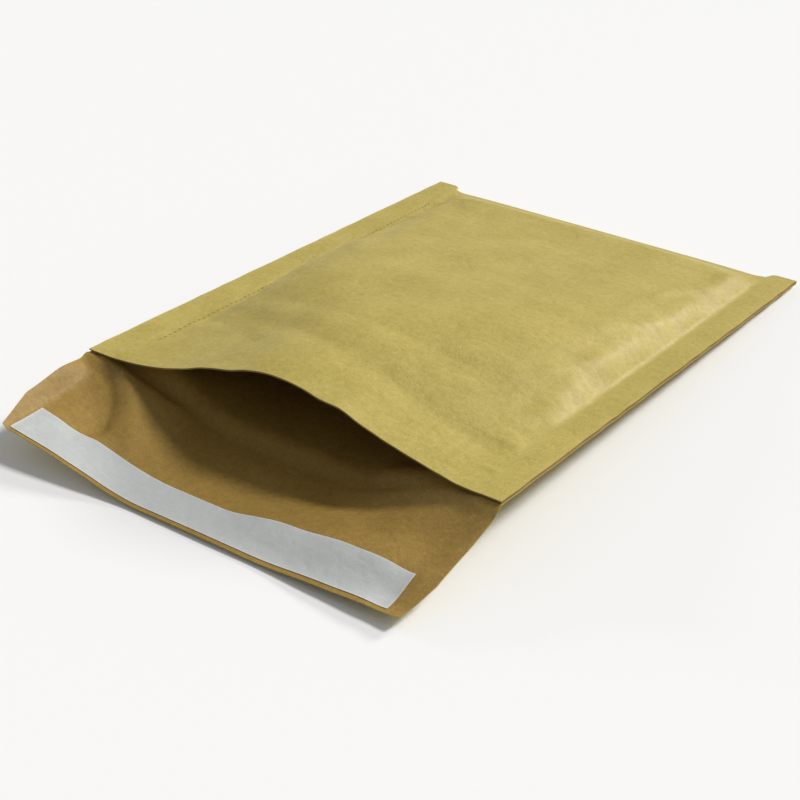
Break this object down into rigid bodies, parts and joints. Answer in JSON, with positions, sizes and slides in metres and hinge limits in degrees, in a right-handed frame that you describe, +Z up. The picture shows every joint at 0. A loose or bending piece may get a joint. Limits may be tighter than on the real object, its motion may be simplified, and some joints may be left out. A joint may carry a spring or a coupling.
{
  "type": "padded envelope",
  "caption": "Padded kraft-paper envelope lying open on its back, with a slit-paper cushion between plies, side seams and a flap with a release strip over its adhesive.",
  "frame": {"origin": "centre of the bounding box in plan, on the table under the back panel", "axes": "+Z up from the table, +Y along the envelope from the flap to the closed end, +X across it to the right seen from the flap"},
  "size_m": [0.17, 0.266, 0.033],
  "materials": {
    "outer_kraft": "smooth gold-brown kraft with a soft machine glaze",
    "inner_kraft": "dull brown kraft",
    "slit_paper": "rough slit kraft",
    "hot_melt": "tacky amber hot melt",
    "release_paper": "smooth white silicone-coated paper",
    "seam_glue": "dried glue line"
  },
  "bodies": {
    "root": {"outer_sheet": "outer_kraft", "inner_sheet": "inner_kraft", "padding": "slit_paper", "closure_adhesive": "hot_melt", "release_liner": "release_paper", "seam_glue_left": "seam_glue", "seam_glue_right": "seam_glue"}
  },
  "joints": []
}
